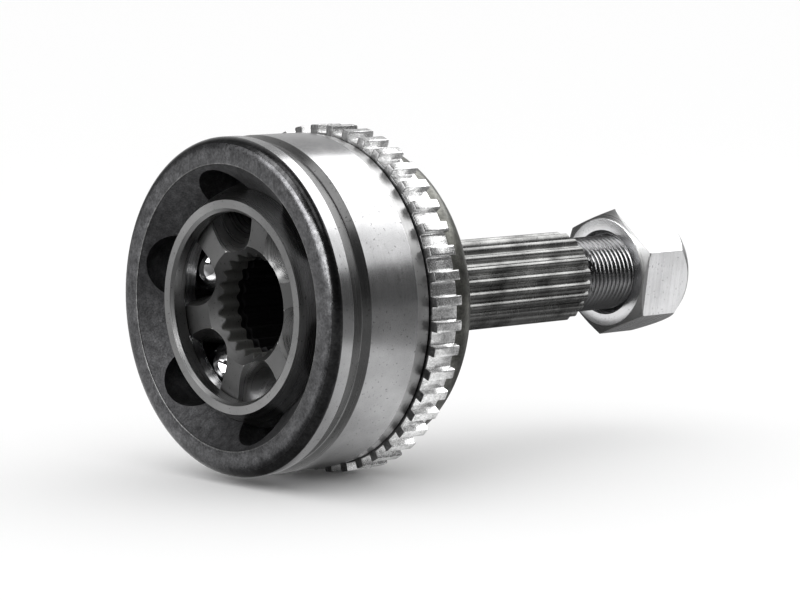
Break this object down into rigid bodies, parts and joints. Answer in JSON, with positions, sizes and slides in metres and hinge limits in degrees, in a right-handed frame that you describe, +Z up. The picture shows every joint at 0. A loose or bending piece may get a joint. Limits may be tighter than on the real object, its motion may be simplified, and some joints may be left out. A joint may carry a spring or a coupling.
{
  "type": "constant velocity joint",
  "caption": "Fixed ball-type constant velocity joint: bell-shaped outer race with splined threaded stub, toothed sensor ring, cage, balls, inner race and axle nut.",
  "frame": {"origin": "centre of articulation, on the joint's axis inside the bell, at the middle of the ball plane", "axes": "+X along the joint's axis from the open mouth towards the threaded stub, +Z up as the joint lies in the picture"},
  "size_m": [0.1481, 0.0872, 0.0872],
  "materials": {
    "forged_steel": "machined bands over dark forged skin",
    "ring_steel": "matt sintered",
    "cage_steel": "ground",
    "race_steel": "ground",
    "ball_steel": "polished",
    "nut_steel": "bright plated"
  },
  "bodies": {
    "outer_race": {"outer_race": "forged_steel", "abs_ring": "ring_steel"},
    "inner_race": {"inner_race": "race_steel"},
    "cage": {"cage": "cage_steel"},
    "axle_nut": {"axle_nut": "nut_steel"},
    "ball_1": {"ball_1": "ball_steel"},
    "ball_2": {"ball_2": "ball_steel"},
    "ball_3": {"ball_3": "ball_steel"},
    "ball_4": {"ball_4": "ball_steel"},
    "ball_5": {"ball_5": "ball_steel"},
    "ball_6": {"ball_6": "ball_steel"}
  },
  "joints": [
    {"name": "tilt", "type": "hinge", "parent": "outer_race", "child": "inner_race", "pos_m": [0, 0, 0], "axis": [0, 0.9711, -0.2385], "range_deg": [-42, 42]},
    {"name": "cage_tilt", "type": "hinge", "parent": "outer_race", "child": "cage", "pos_m": [0, 0, 0], "axis": [0, 0.9711, -0.2385], "range_deg": [-21, 21]},
    {"name": "ball_1_radial", "type": "slide", "parent": "cage", "child": "ball_1", "axis": [0, 0.2385, 0.9711], "range_m": [-0.00151, 0.00151]},
    {"name": "ball_2_roll", "type": "hinge", "parent": "outer_race", "child": "ball_2", "pos_m": [-0.004, 0, 0], "axis": [0, 0.6921, 0.7218], "range_deg": [-10.93, 10.93]},
    {"name": "ball_3_roll", "type": "hinge", "parent": "outer_race", "child": "ball_3", "pos_m": [-0.004, 0, 0], "axis": [0, -0.279, 0.9603], "range_deg": [-10.93, 10.93]},
    {"name": "ball_4_radial", "type": "slide", "parent": "cage", "child": "ball_4", "axis": [0, -0.2385, -0.9711], "range_m": [-0.00151, 0.00151]},
    {"name": "ball_5_roll", "type": "hinge", "parent": "outer_race", "child": "ball_5", "pos_m": [-0.004, 0, 0], "axis": [0, -0.6921, -0.7218], "range_deg": [-10.93, 10.93]},
    {"name": "ball_6_roll", "type": "hinge", "parent": "outer_race", "child": "ball_6", "pos_m": [-0.004, 0, 0], "axis": [0, 0.279, -0.9603], "range_deg": [-10.93, 10.93]},
    {"name": "nut_unscrew", "type": "slide", "parent": "outer_race", "child": "axle_nut", "axis": [1, 0, 0], "range_m": [0, 0.04]}
  ],
  "couplings": [
    {"joint": "cage_tilt", "follows": "tilt", "ratio": 0.5},
    {"joint": "ball_1_radial", "follows": "tilt", "m_per_rad": -0.0019726},
    {"joint": "ball_2_roll", "follows": "tilt", "ratio": 0.2579},
    {"joint": "ball_3_roll", "follows": "tilt", "ratio": -0.2579},
    {"joint": "ball_4_radial", "follows": "tilt", "m_per_rad": 0.0019726},
    {"joint": "ball_5_roll", "follows": "tilt", "ratio": -0.2579},
    {"joint": "ball_6_roll", "follows": "tilt", "ratio": 0.2579}
  ]
}
